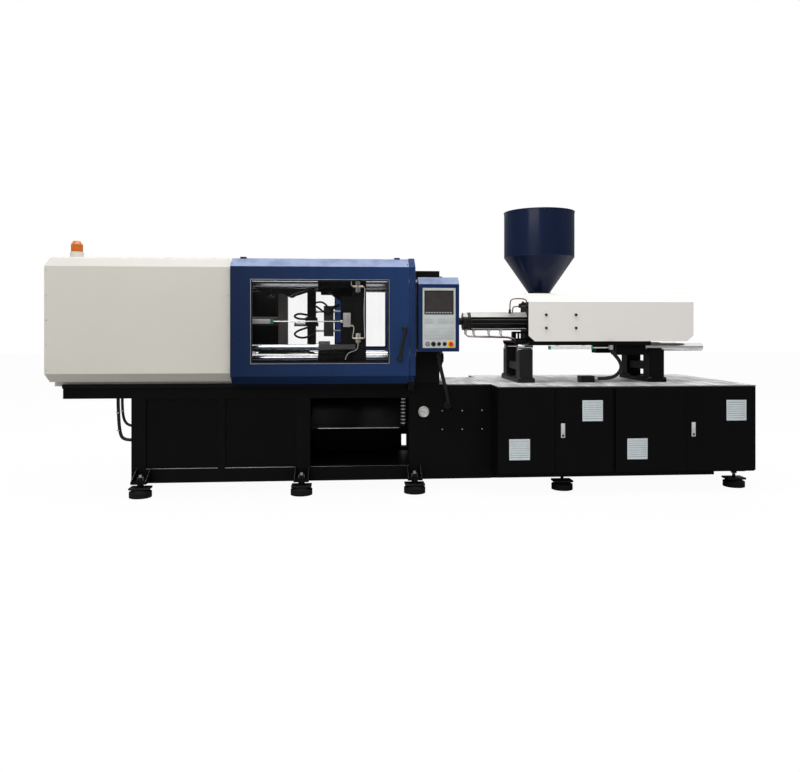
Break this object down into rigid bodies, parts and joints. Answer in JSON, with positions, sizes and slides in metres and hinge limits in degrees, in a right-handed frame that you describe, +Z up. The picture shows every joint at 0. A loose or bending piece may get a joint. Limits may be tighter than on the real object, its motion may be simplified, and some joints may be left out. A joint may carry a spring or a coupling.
{
  "type": "injection moulding machine",
  "caption": "Horizontal plastic injection moulding machine with a toggle clamp, sliding guards, a control box, an injection unit with hopper, and doored cabinets on levelling feet.",
  "frame": {"origin": "on the floor, centre of the bounding box", "axes": "+X from the clamp end to the injection end, -Y the operator's side, +Z up"},
  "size_m": [5.224, 1.34, 2.2163],
  "materials": {
    "frame_black": "satin black machine paint",
    "panel_black": "satin black machine paint",
    "blue_paint": "semi-gloss blue powder coat",
    "beige_paint": "semi-gloss light beige powder coat",
    "grey_paint": "semi-gloss light grey powder coat",
    "navy_gloss": "gloss navy paint",
    "platen_paint": "painted casting with machined faces",
    "link_steel": "dark forged links",
    "chrome": "hard chrome",
    "steel": "machined steel",
    "deck_steel": "chequered plate",
    "clear_pane": "clear sheet",
    "panel_grey": "light grey membrane",
    "screen_dark": "display",
    "stop_red": "red mushroom head",
    "switch_black": "black plastic",
    "amber": "amber dome",
    "beacon_pale": "pale plastic",
    "hose_black": "black hose",
    "sensor_grey": "extruded body with green ends",
    "gear_grey": "drive housings",
    "oil_grey": "tank and pump paint",
    "guard_sheet": "dark sheet guard"
  },
  "bodies": {
    "base": {"clamp_base": "frame_black", "base_panels": "panel_black", "pressure_gauge": "steel", "product_chute": "steel", "levelling_feet": "steel", "injection_base": "frame_black", "deck_plate": "deck_steel", "switchgear": "gear_grey", "hydraulic_unit": "oil_grey", "fixed_platen": "platen_paint", "tie_bars": "chrome", "clamp_covers": "beige_paint", "gate_posts": "blue_paint", "gate_rails": "steel", "beacon_base": "beacon_pale", "beacon_dome": "amber", "control_box": "blue_paint", "control_panel": "panel_grey", "display_screen": "screen_dark", "base_hoses": "hose_black", "front_stand": "frame_black", "rear_stand": "frame_black", "carriage_hose": "hose_black"},
    "front_gate": {"front_gate": "blue_paint", "front_window": "clear_pane", "front_handle": "switch_black"},
    "rear_gate": {"rear_gate": "blue_paint", "rear_window": "clear_pane", "rear_handle": "switch_black"},
    "tail": {"tail_platen": "platen_paint", "clamp_cylinder": "steel"},
    "rear_upper": {"rear_link_upper": "link_steel"},
    "front_upper": {"front_link_upper": "link_steel"},
    "arm_upper": {"crosshead_link_upper": "link_steel"},
    "rear_lower": {"rear_link_lower": "link_steel"},
    "front_lower": {"front_link_lower": "link_steel"},
    "arm_lower": {"crosshead_link_lower": "link_steel"},
    "crosshead": {"crosshead": "link_steel"},
    "moving": {"moving_platen": "platen_paint", "ejector_unit": "steel", "safety_bar": "chrome", "lubrication_blocks": "steel"},
    "ejector": {"ejector_plate": "steel"},
    "carriage": {"injection_carriage": "frame_black", "barrel": "steel", "barrel_cover": "guard_sheet", "injection_cover": "grey_paint", "guide_rods": "chrome", "hopper_body": "navy_gloss", "injection_transducer": "sensor_grey"},
    "injection_drive": {"injection_slide": "steel"},
    "screw": {"screw": "steel"},
    "lid": {"hopper_lid": "navy_gloss"},
    "door_1": {"cabinet_door_1": "panel_black"},
    "door_2": {"cabinet_door_2": "panel_black"},
    "door_3": {"cabinet_door_3": "panel_black"},
    "door_4": {"cabinet_door_4": "panel_black"},
    "stop_button": {"emergency_stop": "stop_red"},
    "key": {"key_switch": "steel"},
    "selector": {"selector_knob": "switch_black"}
  },
  "joints": [
    {"name": "front_gate_slide", "type": "slide", "parent": "base", "child": "front_gate", "axis": [-1, 0, 0], "range_m": [0, 1.15]},
    {"name": "rear_gate_slide", "type": "slide", "parent": "base", "child": "rear_gate", "axis": [-1, 0, 0], "range_m": [0, 1.15]},
    {"name": "mould_height", "type": "slide", "parent": "base", "child": "tail", "axis": [1, 0, 0], "range_m": [-0.15, 0.12]},
    {"name": "toggle_rear_upper", "type": "hinge", "parent": "tail", "child": "rear_upper", "pos_m": [-1.19161, 0, 1.609], "axis": [0, 1, 0], "range_deg": [-18, 56]},
    {"name": "toggle_knee_upper", "type": "hinge", "parent": "rear_upper", "child": "front_upper", "pos_m": [-0.91581, 0, 1.51939], "axis": [0, 1, 0], "range_deg": [-112, 36]},
    {"name": "clamp_stroke", "type": "hinge", "parent": "front_upper", "child": "moving", "pos_m": [-0.64, 0, 1.609], "axis": [0, 1, 0], "range_deg": [-18, 56]},
    {"name": "crosshead_link_upper_pivot", "type": "hinge", "parent": "rear_upper", "child": "arm_upper", "pos_m": [-1.08191, 0, 1.5067], "axis": [0, 1, 0], "range_deg": [-112, 36]},
    {"name": "crosshead_pivot", "type": "hinge", "parent": "arm_upper", "child": "crosshead", "pos_m": [-0.97221, 0, 1.609], "axis": [0, 1, 0], "range_deg": [-18, 56]},
    {"name": "toggle_rear_lower", "type": "hinge", "parent": "tail", "child": "rear_lower", "pos_m": [-1.19161, 0, 0.959], "axis": [0, 1, 0], "range_deg": [-56, 18]},
    {"name": "toggle_knee_lower", "type": "hinge", "parent": "rear_lower", "child": "front_lower", "pos_m": [-0.91581, 0, 1.04861], "axis": [0, 1, 0], "range_deg": [-36, 112]},
    {"name": "crosshead_link_lower_pivot", "type": "hinge", "parent": "rear_lower", "child": "arm_lower", "pos_m": [-1.08191, 0, 1.0613], "axis": [0, 1, 0], "range_deg": [-36, 112]},
    {"name": "ejector_stroke", "type": "slide", "parent": "moving", "child": "ejector", "axis": [1, 0, 0], "range_m": [-0.05, 0.055]},
    {"name": "carriage_stroke", "type": "slide", "parent": "base", "child": "carriage", "axis": [1, 0, 0], "range_m": [-0.24, 0]},
    {"name": "injection_stroke", "type": "slide", "parent": "carriage", "child": "injection_drive", "axis": [1, 0, 0], "range_m": [-0.15, 0]},
    {"name": "screw_turn", "type": "hinge", "parent": "injection_drive", "child": "screw", "pos_m": [1.2, 0, 1.284], "axis": [1, 0, 0], "continuous": true},
    {"name": "hopper_lid_hinge", "type": "hinge", "parent": "carriage", "child": "lid", "pos_m": [1.118, 0.298, 2.1723], "axis": [-1, 0, 0], "range_deg": [0, 100]},
    {"name": "cabinet_door_1_hinge", "type": "hinge", "parent": "base", "child": "door_1", "pos_m": [0.646, -0.634, 0.476], "axis": [0, 0, -1], "range_deg": [0, 110]},
    {"name": "cabinet_door_2_hinge", "type": "hinge", "parent": "base", "child": "door_2", "pos_m": [1.498, -0.634, 0.476], "axis": [0, 0, 1], "range_deg": [0, 90]},
    {"name": "cabinet_door_3_hinge", "type": "hinge", "parent": "base", "child": "door_3", "pos_m": [1.531, -0.634, 0.476], "axis": [0, 0, -1], "range_deg": [0, 90]},
    {"name": "cabinet_door_4_hinge", "type": "hinge", "parent": "base", "child": "door_4", "pos_m": [2.597, -0.634, 0.476], "axis": [0, 0, 1], "range_deg": [0, 110]},
    {"name": "emergency_stop_press", "type": "slide", "parent": "base", "child": "stop_button", "axis": [0, 1, 0], "range_m": [0, 0.005], "stiffness_N_per_m": 400, "springref_m": -0.004},
    {"name": "key_turn", "type": "hinge", "parent": "base", "child": "key", "pos_m": [0.121, -0.65, 1.113], "axis": [0, 1, 0], "range_deg": [0, 90]},
    {"name": "selector_turn", "type": "hinge", "parent": "base", "child": "selector", "pos_m": [0.164, -0.65, 1.113], "axis": [0, 1, 0], "range_deg": [-45, 45]}
  ],
  "couplings": [
    {"joint": "toggle_rear_upper", "follows": "clamp_stroke", "ratio": 1},
    {"joint": "toggle_knee_upper", "follows": "clamp_stroke", "ratio": -2},
    {"joint": "crosshead_link_upper_pivot", "follows": "clamp_stroke", "ratio": -2},
    {"joint": "crosshead_pivot", "follows": "clamp_stroke", "ratio": 1},
    {"joint": "toggle_rear_lower", "follows": "clamp_stroke", "ratio": -1},
    {"joint": "toggle_knee_lower", "follows": "clamp_stroke", "ratio": 2},
    {"joint": "crosshead_link_lower_pivot", "follows": "clamp_stroke", "ratio": 2}
  ]
}
